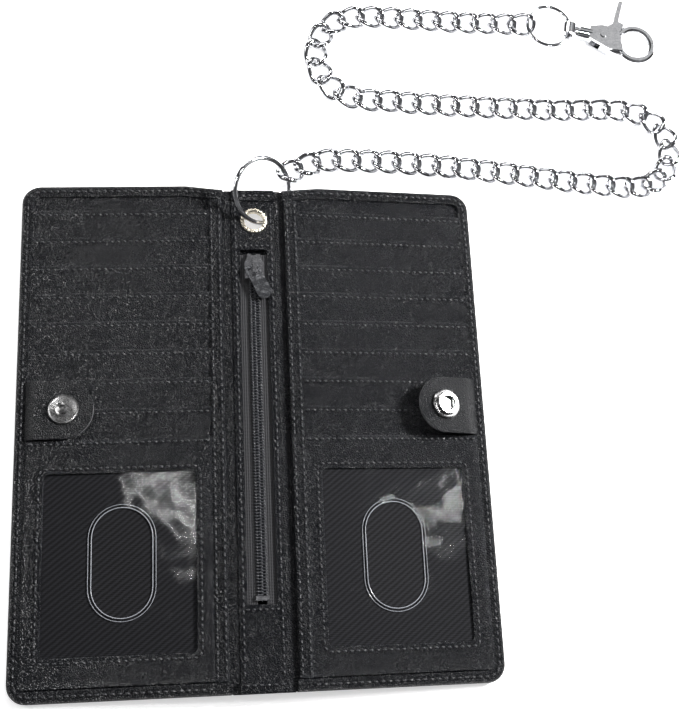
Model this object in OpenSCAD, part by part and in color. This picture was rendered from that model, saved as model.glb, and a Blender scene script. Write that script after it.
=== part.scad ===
// Biker chain wallet, lying open: two leather halves on a zipped coin spine,
// a ring through an eyelet, a curb chain, an end ring and a swivel trigger hook.
// X runs across the open wallet, Y up the spine, Z up. The origin is the middle
// of the flat underside of the spine, on the surface that the wallet lies on.

/* [Wallet] */
// Height of the wallet along the spine
wallet_h = 222; // [220:1:224]
// Width of each half, from its fold line to its outer edge
half_w = 89; // [88:0.5:90]
// Distance between the two fold lines
spine_w = 26; // [26:0.5:28]
// Height of the fold lines above the table
fold_z = 7; // [6.8:0.1:7.2]
// Thickness of the cover leather
leather_t = 1.4; // [1.2:0.1:1.4]
// Radius of the outer corners
corner_r = 8; // [6:1:10]
// Width of the turned and stitched edge
edge_w = 5; // [4:0.5:5]

/* [Card pockets] */
// Distance from one pocket's mouth to the next
pocket_pitch = 13; // [12.5:0.1:13]
// Height of the topmost pocket's mouth above the middle of the wallet
first_mouth_y = 98.8; // [98:0.1:99]
// Width of the clear window in the identity card pocket
window_w = 62.5; // [58:0.5:64]
// Height of the clear window
window_h = 74; // [70:0.5:75]
// Width of the thumb hole in the clear sheet
thumb_w = 25; // [20:0.5:28]
// Height of the thumb hole
thumb_h = 45; // [40:0.5:50]

/* [Closing tabs] */
// Radius of the tab's round end
tab_r = 12.5; // [11:0.5:13]
// Distance of the snap's centre from the fold line
snap_u = 68.5; // [68:0.5:70]
// Height of the snap's centre above the middle of the wallet
snap_y = 7.5; // [5:0.5:9]
// How far the right tab springs up from the pockets, in degrees
right_tab_lift = 11; // [8:1:13]

/* [Zip] */
// Length of the zip opening
zip_len = 156; // [150:1:156]
// Width of the zip opening
zip_w = 12.4; // [12:0.2:13]
// Width of the closed zip coil
coil_w = 5; // [4.8:0.1:5.2]

/* [Rings and chain] */
// Outer diameter of the ring through the eyelet
wallet_ring_d = 31.5; // [31:0.5:32]
// Outer diameter of the ring at the hook
hook_ring_d = 24; // [23.5:0.5:24.5]
// Wire diameter of the ring through the eyelet
ring_wire = 2.3; // [2.1:0.1:2.4]
// Wire diameter of the ring at the hook
hook_wire = 2; // [1.8:0.1:2.1]
// Distance from one chain link to the next
link_pitch = 9.6; // [9.6:0.05:9.7]
// Wire diameter of the chain
link_wire = 2.5; // [2.3:0.1:2.5]

/* [Hook] */
// Inner diameter of the hook's claw
claw_id = 15; // [14.5:0.5:15.5]

/* [Hidden] */
$fn = 48;
gap = 0.05;

// Places of the two halves
fold_x = spine_w / 2;
half_h = wallet_h / 2;
rest_drop = asin((fold_z - leather_t - 0.03) / half_w);
seam = 0.3;

// Layers of a half, measured up from the cover's inner face
board_t = 0.6;
turned_z = 1.2;
turned_top = 2.1;
pocket_low = board_t + gap + 0.03;
pocket_skin = 0.6;
pocket_mouth_z = 1.55;
pocket_lip = 0.3;
pocket_lip_len = 4.5;
pocket_len = 16;
strip_in = 1.2;
strip_out = 6.6;
pocket_in = strip_out + 0.2;
pocket_out = half_w - edge_w - 0.3;
window_u = 45;
window_y = -56.7;
tab_z = 3.4;
tab_t = 1.3;
tab_root = half_w - edge_w;

// Heights in the spine
panel_z = fold_z + gap;
panel_t = 0.95;
panel_half = 9.6;
skive_y = 84;
skive_z = 6.3;
eyelet_y = 94.5;
eyelet_x = 0.5;
eyelet_r = 4.15;
eyelet_flange_r = 6.2;
top_dip = 2;
tray_half = 7.3;
tray_end = 81.5;
zip_mid = 2.2;
coil_gap = 0.7;
coil_low = 6.35;
coil_top = 8;
tooth_pitch = 1.3;
slider_y = 71.6;
slider_l = 11;
slider_half = 4.2;
pull_yaw = 25;
pull_l = 16;

// The ring through the eyelet: it leans on the line from the eyelet to the top
// edge, and passes under the leather between the two
ring_lean = 39;
ring_exit = [17, 114];
ring_r = (wallet_ring_d - ring_wire) / 2;
ring_chord = ring_exit - [eyelet_x, eyelet_y];
chord_len = norm(ring_chord);
chord_dir = atan2(ring_chord[1], ring_chord[0]);
ring_off = sqrt(ring_r * ring_r - chord_len * chord_len / 4);
ring_z = (fold_z - leather_t + skive_z + panel_t + gap) / 2;

// Chain route on the table, from the wallet's ring to the hook's ring: three rows
// that lie nearly straight, joined by a round bend on the right and one on the left
right_bend = [186.5, 137];
right_bend_r = 20.5;
left_bend = [55.5, 182.3];
left_bend_r = 22.5;
BEND_STEPS = 6;
function bend(mid, r, from, to) = [for (k = [0:BEND_STEPS])
    let (a = from + (to - from) * k / BEND_STEPS) mid + r * [cos(a), sin(a)]];
ROUTE = concat([[14, 116.5], [26.5, 123.8], [36, 127], [66, 127], [96, 125], [126, 122], [156, 118.5],
    [174, 117]], bend(right_bend, right_bend_r, -90, 90), [[174, 158], [150, 157], [107, 157.5], [80, 158.5],
    [68, 159.2]], bend(left_bend, left_bend_r, 270, 90), [[68, 205], [90, 204.5], [107, 204], [131, 204],
    [150, 203]]);
link_a = 6.4;
link_b = 4.95;
link_c = 1.95;
link_z = link_c + link_wire / 2 + 0.05;
first_link_s = 4.9;
LINKS_IN = [9, 9, 9, 9, 9, 10];
link_count = 55;
last_link_s = first_link_s + (link_count - 1) * link_pitch;
// The chain climbs to the wallet's ring over its first links and a little to the
// hook's ring over its last, which leans to let that ring lie flat
ring_lift = 3.7;
ring_run = 26;
hook_lift = 1.1;
hook_run = 20;
last_lean = 14;

// Hook frame; the hook is drawn with an 18 mm claw and brought to its real size
pattern_id = 18;
claw_t = 4;
hook_at = [161.7, 201.4, 4.8];
hook_yaw = -11.2;
claw_x = 41.5;
eye_d = 9.2;
eye_bore = 5;
eye_w = 7;
rivet_x = 20.6;
split_angle = 12;

module on_right() {
    translate([fold_x, 0, fold_z]) rotate([0, rest_drop, 0]) children();
}

module on_side(side) {
    if (side == "left") mirror([1, 0, 0]) on_right() children();
    else on_right() children();
}

// Rectangle with round corners, from [x0, y0] to [x1, y1]
module round_rect(x0, y0, x1, y1, r) {
    translate([x0 + r, y0]) square([x1 - x0 - 2 * r, y1 - y0]);
    translate([x0, y0 + r]) square([x1 - x0, y1 - y0 - 2 * r]);
    for (x = [x0 + r, x1 - r], y = [y0 + r, y1 - r]) translate([x, y]) circle(r);
}

// Outline of a half, drawn in by inset on its three free sides
module half_outline(inset, from = seam) {
    r = max(corner_r - 1.5 * inset, 0.6);
    difference() {
        round_rect(-20, -half_h + inset, half_w - inset, half_h - inset, r);
        translate([-30, -half_h - 1]) square([30 + from, wallet_h + 2]);
        polygon([[-1, half_h - inset - top_dip], [17, half_h - inset],
            [17, half_h + 1], [-1, half_h + 1]]);
    }
}

module half_cover(side) {
    color("#1c1d21") on_side(side) {
        translate([0, 0, -leather_t]) linear_extrude(leather_t) half_outline(0);
        linear_extrude(turned_top) difference() {
            half_outline(0);
            half_outline(1.2, -1);
        }
        translate([0, 0, turned_z]) linear_extrude(turned_top - turned_z) difference() {
            half_outline(0, strip_in);
            half_outline(edge_w, -1);
        }
    }
}

module pocket_board(side) {
    color("#26272b") on_side(side)
        translate([0, 0, gap]) linear_extrude(board_t) half_outline(1.4, 0.8);
}

module edge_strip(side) {
    color("#1c1d21") on_side(side)
        translate([strip_in, -half_h + edge_w + 0.3, pocket_low])
            cube([strip_out - strip_in, wallet_h - 2 * edge_w - top_dip - 0.3, 2.4 - pocket_low]);
}

// Section of a card pocket: a leather strip that leans down behind the next one,
// with its upper edge folded over
function pocket_section() = [
    [0, pocket_mouth_z],
    [0, pocket_mouth_z + pocket_skin + pocket_lip],
    [-pocket_lip_len, pocket_mouth_z + pocket_skin + pocket_lip / 4],
    [-pocket_lip_len - 0.3, pocket_mouth_z + pocket_skin - 0.27],
    [-pocket_len, pocket_low + pocket_skin],
    [-pocket_len, pocket_low]];

function mouth_y(k) = first_mouth_y - (k - 1) * pocket_pitch;

module card_pocket(side, k) {
    color("#222327") on_side(side)
        translate([pocket_in, mouth_y(k), 0]) rotate([90, 0, 90])
            linear_extrude(pocket_out - pocket_in) polygon(pocket_section());
}

module id_frame(side) {
    top = mouth_y(9);
    low = -half_h + edge_w + 0.3;
    color("#1f2024") on_side(side) difference() {
        union() {
            translate([pocket_in, low, pocket_mouth_z])
                cube([pocket_out - pocket_in, top - low, 0.65]);
            translate([pocket_in, top - pocket_lip_len, pocket_mouth_z])
                cube([pocket_out - pocket_in, pocket_lip_len, pocket_skin + pocket_lip]);
        }
        translate([0, 0, 1]) linear_extrude(2)
            round_rect(window_u - window_w / 2, window_y - window_h / 2,
                window_u + window_w / 2, window_y + window_h / 2, 2);
    }
}

module id_sheet(low, thick) {
    translate([pocket_in + 0.7, -half_h + edge_w + 1, low])
        cube([pocket_out - pocket_in - 1.4, mouth_y(9) - 3.8 + half_h - edge_w - 1, thick]);
}

module id_window(side) {
    color([0.75, 0.8, 0.85, 0.35]) on_side(side) difference() {
        id_sheet(1.28, 0.22);
        translate([0, 0, 1]) linear_extrude(1)
            round_rect(window_u - thumb_w / 2 - 1, window_y - thumb_h / 2,
                window_u + thumb_w / 2 - 1, window_y + thumb_h / 2, thumb_w / 2 - 0.01);
    }
}

module id_backing(side) {
    color("#141416") on_side(side) id_sheet(pocket_low + 0.02, 0.3);
}

module on_tab(side) {
    lift = side == "right" ? right_tab_lift : 0;
    on_side(side) translate([tab_root, 0, 2.5]) rotate([0, lift, 0])
        translate([-tab_root, 0, -2.5]) children();
}

module tab(side) {
    color("#26272b") on_tab(side) translate([0, 0, tab_z]) linear_extrude(tab_t) difference() {
        union() {
            translate([snap_u, snap_y]) circle(tab_r);
            translate([snap_u, snap_y - tab_r]) square([tab_root - 0.4 - snap_u, 2 * tab_r]);
        }
        translate([snap_u, snap_y]) circle(1.6);
    }
}

module at_snap(side) {
    on_tab(side) translate([snap_u, snap_y, tab_z]) children();
}

// Stud: a ribbed dished flange and a round head that the socket grips
module left_stud() {
    ribs = 36;
    color("silver") at_snap("left") translate([0, 0, tab_t + gap]) {
        rotate_extrude() polygon([[1.3, 0], [6.3, 0], [6.5, 0.3], [6.2, 0.8], [5.6, 0.9],
            [3.2, 0.5], [2, 0.8], [1.9, 2], [2.4, 2.6], [2.3, 3.3], [1.3, 3.6]]);
        for (k = [0:ribs - 1]) rotate(k * 360 / ribs)
            translate([3.4, -0.14, 0.4]) cube([2.3, 0.28, 0.42]);
    }
}

module snap_rivet(side) {
    color("silver") at_snap(side) {
        translate([0, 0, -0.75]) cylinder(h = 0.7, r = 5.2);
        translate([0, 0, -0.4]) cylinder(h = tab_t + 1.5, r = 1.2);
    }
}

// Socket: a thick flanged cup with a deep hole and two slots for the spring
module right_socket() {
    color("silver") at_snap("right") translate([0, 0, tab_t + gap]) difference() {
        rotate_extrude() polygon([[1.3, 0], [6.1, 0], [6.4, 0.4], [6.4, 1], [5.9, 1.4],
            [5.3, 1.5], [5.1, 2.8], [4.6, 3.2], [3.4, 3.2], [2.9, 2.8], [2.9, 1.4], [1.3, 1.4]]);
        for (x = [-2.55, 2.55]) translate([x - 0.5, -3.9, 1.7]) cube([1, 7.8, 1]);
    }
}

module right_socket_spring() {
    color("gainsboro") at_snap("right")
        for (x = [-2.55, 2.55]) translate([x, 3.6, tab_t + gap + 2.2])
            rotate([90, 0, 0]) cylinder(h = 7.2, r = 0.35);
}

// Leather of the spine: a flat strip with the coin tray hanging below it,
// turned over and stitched at both ends
module tray_shell(grow, low, high) {
    hull() {
        translate([0, 0, low]) linear_extrude(0.2)
            round_rect(-5 - grow, -70 - grow, 5 + grow, 70 + grow, 3 + grow);
        translate([0, 0, high - 0.2]) linear_extrude(0.2)
            round_rect(-tray_half - grow, -tray_end - grow, tray_half + grow, tray_end + grow, 4 + grow);
    }
}

module cover_spine() {
    top = half_h - top_dip;
    flat_z = fold_z - leather_t;
    color("#1c1d21") {
        difference() {
            translate([-fold_x + seam, -half_h, flat_z])
                cube([spine_w - 2 * seam, half_h + top, leather_t]);
            translate([-tray_half, -tray_end, flat_z - 1]) cube([2 * tray_half, 2 * tray_end, 4]);
            translate([-fold_x, skive_y - 1, skive_z]) cube([spine_w, top - skive_y, 2]);
            translate([eyelet_x, eyelet_y, flat_z - 1]) cylinder(h = 4, r = eyelet_r + 0.45);
        }
        difference() {
            tray_shell(1.2, 0, flat_z + 0.2);
            tray_shell(0, 1.2, flat_z + 0.3);
        }
        translate([-panel_half, top - 1, skive_z]) cube([2 * panel_half, 1, 1.9]);
        translate([-panel_half, top - edge_w, skive_z + 1.05]) cube([2 * panel_half, edge_w, 0.85]);
        translate([-panel_half, -half_h, flat_z]) cube([2 * panel_half, 1, 3.25]);
        translate([-panel_half, -half_h, panel_z + 1]) cube([2 * panel_half, edge_w, 0.8]);
    }
}

module zip_panel() {
    top = half_h - top_dip - 1.1;
    color("#222327") difference() {
        union() {
            translate([-panel_half, -half_h + 1.1, panel_z])
                cube([2 * panel_half, half_h - 1.1 + skive_y, panel_t]);
            translate([-panel_half, skive_y - 0.9, skive_z + gap])
                cube([2 * panel_half, top - skive_y + 0.9, panel_t]);
        }
        translate([0, 0, 4]) linear_extrude(6)
            round_rect(-zip_w / 2, zip_mid - zip_len / 2, zip_w / 2, zip_mid + zip_len / 2, 1);
        translate([eyelet_x, eyelet_y, 5]) cylinder(h = 5, r = eyelet_r + 0.45);
    }
}

module zip_tape() {
    color("#111113") translate([coil_w / 2 - 0.6, -78, 6.5]) cube([5.2, 156, 0.45]);
}

// One side of the coil: a row of rounded turns on a core
module zip_teeth() {
    n = 114;
    y0 = zip_mid - n * tooth_pitch / 2;
    color("#18181a") {
        translate([coil_gap + 0.4, y0, 7]) cube([coil_w / 2 - coil_gap - 0.4, n * tooth_pitch, coil_top - 7.25]);
        translate([0, 0, 7]) linear_extrude(coil_top - 7) polygon(concat(
            [[coil_w / 2, y0 + n * tooth_pitch], [coil_w / 2, y0]],
            [for (k = [0:n - 1], e = [[1, 0], [0, 0.2], [0, 0.8], [1, 1]])
                [coil_gap + 0.7 * e[0], y0 + (k + e[1]) * tooth_pitch]]));
    }
}

module zip_stops() {
    color("silver") {
        for (s = [-1, 1]) translate([s * 2 - 0.9, zip_mid + 74.4, 7]) cube([1.8, 1.5, 1.1]);
        translate([-2.8, zip_mid - 76.4, 7]) cube([5.6, 1.9, 1.1]);
    }
}

module pouch_lining() {
    color("#141416") translate([-4.6, -61, 1.25]) cube([9.2, 122, 0.25]);
}

// Pressed eyelet: a tube through the leather with a rolled flange on top
module eyelet() {
    low = fold_z - leather_t;
    top = skive_z + gap + panel_t;
    color("#b8b09a") translate([eyelet_x, eyelet_y, 0]) {
        rotate_extrude() polygon([[eyelet_r, low + 0.1], [eyelet_r + 0.35, low - 0.45],
            [eyelet_r + 0.4, low - 0.1], [eyelet_r + 0.4, top + 0.05], [eyelet_flange_r, top + 0.05],
            [eyelet_flange_r - 0.1, top + 0.45], [eyelet_r + 1.3, top + 0.85],
            [eyelet_r + 0.5, top + 0.7], [eyelet_r, top]]);
    }
}

module eyelet_washer() {
    low = fold_z - leather_t;
    color("#b8b09a") translate([eyelet_x, eyelet_y, low - 0.45]) difference() {
        cylinder(h = 0.4, r = eyelet_flange_r - 0.3);
        translate([0, 0, -1]) cylinder(h = 3, r = eyelet_r + 0.45);
    }
}

// Slider: two plates on a post, a bridge on top for the pull
module zip_slider() {
    color("silver") translate([0, slider_y, 0]) {
        translate([0, 0, 8.2]) linear_extrude(0.8)
            polygon([[-slider_half, -slider_l / 2], [slider_half, -slider_l / 2],
                [slider_half, 2], [2.6, slider_l / 2], [-2.6, slider_l / 2], [-slider_half, 2]]);
        translate([0, 0, 5.4]) linear_extrude(0.7)
            polygon([[-slider_half, -slider_l / 2], [slider_half, -slider_l / 2],
                [slider_half, 2], [2.6, slider_l / 2], [-2.6, slider_l / 2], [-slider_half, 2]]);
        translate([-0.45, 1.5, 5.5]) cube([0.9, slider_l / 2 - 1.5, 3]);
        difference() {
            translate([-0.9, -3.5, 8.8]) cube([1.8, 7.5, 3.1]);
            translate([-2, -2.6, 8.8]) cube([4, 4.7, 2.1]);
        }
    }
}

// The pull's eye goes round the rear foot of the bridge, its bar through the bridge
pull_at = [0, slider_y - 3.05, 9.85];

module zip_pull() {
    color("gray") translate(pull_at) rotate([0, 0, pull_yaw]) difference() {
        union() {
            translate([0, 0, -0.5]) linear_extrude(1) polygon([[-3.3, 3.7], [3.3, 3.7],
                [3.1, -3], [3.4, -pull_l + 6.4], [-3.4, -pull_l + 6.4], [-3.1, -3]]);
            translate([0, -pull_l + 6.4, -0.5]) cylinder(h = 1, r = 3.4);
        }
        translate([-2.3, -1.7, -2]) cube([4.6, 4.3, 4]);
    }
}

module wallet_ring() {
    color("silver") translate([eyelet_x, eyelet_y, ring_z]) rotate([0, 0, chord_dir])
        rotate([ring_lean, 0, 0]) translate([chord_len / 2, ring_off, 0])
            rotate_extrude($fn = 96) translate([ring_r, 0]) circle(ring_wire / 2);
}

// Smooth route through the points (Catmull-Rom) and its length so far
function spline(a, b, c, d, t) = 0.5 * (2 * b + (c - a) * t
    + (2 * a - 5 * b + 4 * c - d) * t * t + (3 * b - a - 3 * c + d) * t * t * t);
function at_route(k) = ROUTE[min(max(k, 0), len(ROUTE) - 1)];
STEPS = 8;
FINE = [for (k = [0:len(ROUTE) - 2], j = [0:STEPS - 1])
    spline(at_route(k - 1), at_route(k), at_route(k + 1), at_route(k + 2), j / STEPS)];
FAR = [for (k = 0, s = 0; k < len(FINE); s = s + norm(FINE[min(k + 1, len(FINE) - 1)] - FINE[k]), k = k + 1) s];
X_AT = [for (k = [0:len(FINE) - 1]) [FAR[k], FINE[k][0]]];
Y_AT = [for (k = [0:len(FINE) - 1]) [FAR[k], FINE[k][1]]];
function on_route(s) = [lookup(s, X_AT), lookup(s, Y_AT)];
function run_angle(s) = let (d = on_route(s + 3) - on_route(s - 3)) atan2(d[1], d[0]);
function run_z(s) = link_z + ring_lift * pow(max(0, 1 - (s - first_link_s) / ring_run), 2)
    + hook_lift * pow(max(0, 1 - (last_link_s - s) / hook_run), 2);
function run_slope(s) = atan2(run_z(s + 3) - run_z(s - 3), 6);

// Place and turn of link i, counted from the wallet's ring
function link_at(i) = let (s = first_link_s + i * link_pitch, p = on_route(s))
    [[p[0], p[1], run_z(s)], [i == link_count - 1 ? last_lean : 0, -run_slope(s), run_angle(s)]];

// A curb link: one closed turn of wire, twisted so that the chain lies flat
function link_mid(t) = [link_a * cos(t), link_b * sin(t), link_c * sin(2 * t)];
function link_dir(t) = let (v = [-link_a * sin(t), link_b * cos(t), 2 * link_c * cos(2 * t)]) v / norm(v);
LINK_RINGS = 16;
LINK_SIDES = 6;
function link_points() = [for (k = [0:LINK_RINGS - 1], j = [0:LINK_SIDES - 1])
    let (t = k * 360 / LINK_RINGS, d = link_dir(t), u = cross(d, [0, 0, 1]), n = u / norm(u),
        m = cross(d, n), a = j * 360 / LINK_SIDES)
    link_mid(t) + link_wire / 2 * (cos(a) * n + sin(a) * m)];
function link_faces() = [for (k = [0:LINK_RINGS - 1], j = [0:LINK_SIDES - 1], half = [0, 1])
    let (k2 = (k + 1) % LINK_RINGS, j2 = (j + 1) % LINK_SIDES, p = k * LINK_SIDES, q = k2 * LINK_SIDES)
    half == 0 ? [p + j, q + j2, p + j2] : [p + j, q + j, q + j2]];

module chain_link() {
    polyhedron(link_points(), link_faces());
}

function links_before(n) = n <= 1 ? 0 : LINKS_IN[n - 2] + links_before(n - 1);

module chain(n) {
    color("silver") for (k = [0:LINKS_IN[n - 1] - 1]) {
        at = link_at(links_before(n) + k);
        translate(at[0]) rotate(at[1]) chain_link();
    }
}

module at_hook() {
    translate(hook_at) rotate([0, 0, hook_yaw]) scale(claw_id / pattern_id) children();
}

module hook_ring() {
    color("silver") translate(hook_at) rotate([0, 0, hook_yaw])
        translate([-(hook_ring_d - hook_wire) / 2 + 0.5, 0, 0])
            rotate_extrude($fn = 96) translate([(hook_ring_d - hook_wire) / 2, 0]) circle(hook_wire / 2);
}

// Swivel eye: a short barrel on the ring, with a necked shank into the hook
module hook_swivel_eye() {
    color("silver") at_hook() difference() {
        union() {
            rotate([90, 0, 0]) cylinder(h = eye_w, r = eye_d / 2, center = true);
            translate([3, 0, 0]) rotate([0, 90, 0]) cylinder(h = 8, r = 1.7);
            translate([3, 0, 0]) rotate([0, 90, 0]) cylinder(h = 2.6, r = 3.4);
            translate([10.6, 0, 0]) rotate([0, 90, 0]) cylinder(h = 1.4, r = 2.6);
        }
        rotate([90, 0, 0]) cylinder(h = 20, r = eye_bore / 2, center = true);
    }
}

module claw_arc(from, sweep) {
    r0 = pattern_id / 2;
    rotate([0, 0, from]) rotate_extrude(angle = sweep, $fn = 96)
        polygon([[r0, -claw_t / 4], [r0 + 0.8, -claw_t / 2], [r0 + 2.6, -claw_t / 2],
            [r0 + 3.8, -claw_t / 4], [r0 + 3.8, claw_t / 4], [r0 + 2.6, claw_t / 2],
            [r0 + 0.8, claw_t / 2], [r0, claw_t / 4]]);
}

// Hook body: a hollow collar for the swivel, two cheeks and the fixed half of the claw
module hook_body() {
    color("silver") at_hook() {
        difference() {
            union() {
                translate([6, 0, 0]) rotate([0, 90, 0]) cylinder(h = 7.5, r = 4.2);
                translate([12, 0, -4]) linear_extrude(8) polygon([[0, -4.1], [0, 4.1], [7, 6],
                    [15.5, 6.2], [19.5, 1], [21.5, -8], [13, -9]]);
            }
            translate([5, 0, 0]) rotate([0, 90, 0]) cylinder(h = 5.5, r = 1.8);
            translate([10.4, 0, 0]) rotate([0, 90, 0]) cylinder(h = 1.9, r = 2.8);
            translate([13.6, -7, -2.4]) cube([30, 16, 4.8]);
            translate([rivet_x, 0, -5]) cylinder(h = 10, r = 1.3);
            translate([claw_x, 0, -5]) cylinder(h = 10, r = pattern_id / 2 + 0.9);
        }
        translate([claw_x, 0, 0]) claw_arc(-160, 160 + split_angle);
        translate([25, -9, -claw_t / 2]) linear_extrude(claw_t) polygon([[0, 0], [0, 1.9], [5.5, 1.9],
            [8, 0], [8.6, -1.7], [5, -1.6]]);
    }
}

// Trigger: the thumb lever and the upper half of the claw, turning on one pin
module hook_trigger() {
    color("silver") at_hook() difference() {
        union() {
            translate([claw_x, 0, 0]) claw_arc(split_angle + 1.5, 145);
            translate([0, 0, -claw_t / 2]) linear_extrude(claw_t) polygon([[rivet_x - 2.5, -2.6],
                [rivet_x - 2.5, 2.5], [25, 9.4], [27, 10.5], [33, 9.8], [31.5, 6.5], [29.5, 3.5],
                [28, -2.6]]);
            translate([0, 0, -claw_t / 2]) linear_extrude(claw_t) polygon([[26.2, 9.5], [28.6, 27],
                [31.3, 27], [29.6, 12.5], [33.5, 11], [31, 8]]);
        }
        translate([rivet_x, 0, -5]) cylinder(h = 10, r = 1.3);
        translate([claw_x, 0, -5]) cylinder(h = 10, r = pattern_id / 2);
        translate([rivet_x - 3.5, -6, -0.7]) cube([6.5, 9, 1.4]);
    }
}

module hook_pin() {
    color("silver") at_hook() translate([rivet_x, 0, -4.3]) {
        cylinder(h = 8.6, r = 1.2);
        for (z = [-0.3, 8.35]) translate([0, 0, z]) cylinder(h = 0.55, r = 2);
    }
}

module hook_spring() {
    color("gray") at_hook() translate([rivet_x, 0, -0.45]) {
        difference() {
            cylinder(h = 0.9, r = 2.3);
            translate([0, 0, -1]) cylinder(h = 3, r = 1.5);
        }
    }
}

cover_spine();
zip_panel();
mirror([1, 0, 0]) zip_tape();  // zip_tape_left
zip_tape();  // zip_tape_right
mirror([1, 0, 0]) zip_teeth();  // zip_teeth_left
zip_teeth();  // zip_teeth_right
zip_stops();
pouch_lining();
eyelet();
eyelet_washer();
zip_slider();
zip_pull();
for (s = ["left", "right"]) {
    half_cover(s);
    pocket_board(s);
    edge_strip(s);
    id_frame(s);
    id_window(s);
    id_backing(s);
    tab(s);
    for (k = [1:8])
        card_pocket(s, k);
}
left_stud();
snap_rivet("left");  // left_stud_rivet
right_socket();
right_socket_spring();
snap_rivet("right");  // right_socket_rivet
wallet_ring();
for (n = [1:6]) chain(n);
hook_ring();
hook_swivel_eye();
hook_body();
hook_trigger();
hook_pin();
hook_spring();
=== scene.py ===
import bpy, bmesh, math
from mathutils import Vector, Matrix, noise


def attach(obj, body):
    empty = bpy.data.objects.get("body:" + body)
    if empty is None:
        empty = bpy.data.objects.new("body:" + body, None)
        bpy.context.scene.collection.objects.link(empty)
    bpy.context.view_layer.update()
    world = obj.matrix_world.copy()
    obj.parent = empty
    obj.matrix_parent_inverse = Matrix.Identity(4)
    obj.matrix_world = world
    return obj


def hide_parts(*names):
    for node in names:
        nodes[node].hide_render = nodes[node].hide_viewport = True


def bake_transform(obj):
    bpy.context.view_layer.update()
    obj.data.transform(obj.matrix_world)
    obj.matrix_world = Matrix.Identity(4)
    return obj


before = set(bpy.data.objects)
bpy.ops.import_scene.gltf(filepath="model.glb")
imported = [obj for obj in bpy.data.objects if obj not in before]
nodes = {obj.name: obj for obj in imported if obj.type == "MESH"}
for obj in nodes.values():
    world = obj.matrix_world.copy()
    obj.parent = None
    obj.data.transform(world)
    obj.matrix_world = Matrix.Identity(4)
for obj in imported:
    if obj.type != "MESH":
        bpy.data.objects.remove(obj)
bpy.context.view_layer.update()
MM = 0.001

# ---------------------------------------------------------------- view, light and floor
# The wallet is seen from above and a little to the left, turned on the page.
AZ, EL, ROLL = math.radians(-28.46), math.radians(71.41), math.radians(27.03)
ahead = Vector((-math.sin(AZ) * math.cos(EL), math.cos(AZ) * math.cos(EL), -math.sin(EL)))
right = ahead.cross(Vector((0, 0, 1))).normalized()
up = right.cross(ahead)
cam_x = right * math.cos(ROLL) + up * math.sin(ROLL)
cam_y = up * math.cos(ROLL) - right * math.sin(ROLL)
camera = bpy.data.objects.new("camera", bpy.data.cameras.new("camera"))
bpy.context.collection.objects.link(camera)
camera.matrix_world = Matrix.Translation(Vector((38.04, 33.38, 0)) * MM - ahead * 510.4 * MM) @ Matrix(
    (cam_x, cam_y, -ahead)).transposed().to_4x4()
camera.data.lens = 1137.4 * 36 / 709
camera.data.clip_start = 0.01
bpy.context.scene.camera = camera


def area_light(name, place, target, size, power, colour=(1, 1, 1)):
    data = bpy.data.lights.new(name, "AREA")
    data.shape, data.size, data.size_y, data.energy, data.color = "RECTANGLE", size[0], size[1], power, colour
    lamp = bpy.data.objects.new(name, data)
    bpy.context.collection.objects.link(lamp)
    lamp.location = place
    lamp.rotation_euler = (Vector(target) - Vector(place)).to_track_quat("-Z", "Y").to_euler()
    return lamp


area_light("key", (0.66, 0.2, 0.5), (0.05, 0.05, 0), (0.14, 0.14), 19)
area_light("fill", (-0.6, 0.1, 0.6), (0.05, 0.05, 0), (0.3, 0.3), 1.6)
area_light("top", (0.0, 0.7, 0.5), (0.05, 0.05, 0), (0.6, 0.12), 3.0)
# Two narrow soft boxes that show as glare beside the right edge of each clear window
area_light("glare_left", (-0.093, 0.057, 0.593), (-0.03, -0.035, 0), (0.022, 0.1), 0.5)
area_light("glare_right", (0.305, 0.054, 0.554), (0.085, -0.035, 0), (0.022, 0.1), 0.5)
# Two more that the flat faces of the hook and of the zip pull reflect
area_light("hook_box", (0.387, 0.502, 0.478), (0.175, 0.198, 0), (0.2, 0.2), 0.07)
area_light("pull_box", (0.047, 0.292, 0.567), (0.0, 0.075, 0), (0.05, 0.03), 0.002)
world = bpy.data.worlds.new("studio")
bpy.context.scene.world = world
world.use_nodes = True
tree = world.node_tree
height = tree.nodes.new("ShaderNodeSeparateXYZ")
tree.links.new(tree.nodes.new("ShaderNodeTexCoord").outputs["Generated"], height.inputs[0])
sky = tree.nodes.new("ShaderNodeValToRGB")
for place, tone in ((0.0, 0.015), (0.25, 0.04), (0.45, 0.3), (0.6, 0.5), (0.75, 0.16), (0.9, 0.1)):
    e = sky.color_ramp.elements[0] if place == 0 else sky.color_ramp.elements.new(place)
    e.position, e.color = place, (tone, tone, tone * 1.04, 1)
sky.color_ramp.elements[-1].color = (0.1, 0.105, 0.115, 1)
tree.links.new(height.outputs["Z"], sky.inputs["Fac"])
tree.links.new(sky.outputs["Color"], tree.nodes["Background"].inputs["Color"])
tree.nodes["Background"].inputs["Strength"].default_value = 0.5
bpy.context.scene.view_settings.view_transform = "Standard"


# ---------------------------------------------------------------- shared shader groups
def group(name, outputs, inputs=()):
    g = bpy.data.node_groups.new(name, "ShaderNodeTree")
    for label, kind, value in inputs:
        s = g.interface.new_socket(label, in_out="INPUT", socket_type=kind)
        s.default_value = value
    for label, kind in outputs:
        g.interface.new_socket(label, in_out="OUTPUT", socket_type=kind)
    return g, g.nodes.new("NodeGroupInput"), g.nodes.new("NodeGroupOutput")


def add(tree, kind, links=None, **values):
    """Adds a node. Keys that name a property are set on it, the rest are its sockets."""
    n = tree.nodes.new(kind)
    for key, value in values.items():
        setattr(n, key, value)
    for key, value in (links or {}).items():
        if isinstance(value, bpy.types.NodeSocket):
            tree.links.new(value, n.inputs[key])
        else:
            n.inputs[key].default_value = value
    return n


def math_node(tree, operation, a, b=0.0):
    return add(tree, "ShaderNodeMath", {0: a, 1: b}, operation=operation).outputs[0]


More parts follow.
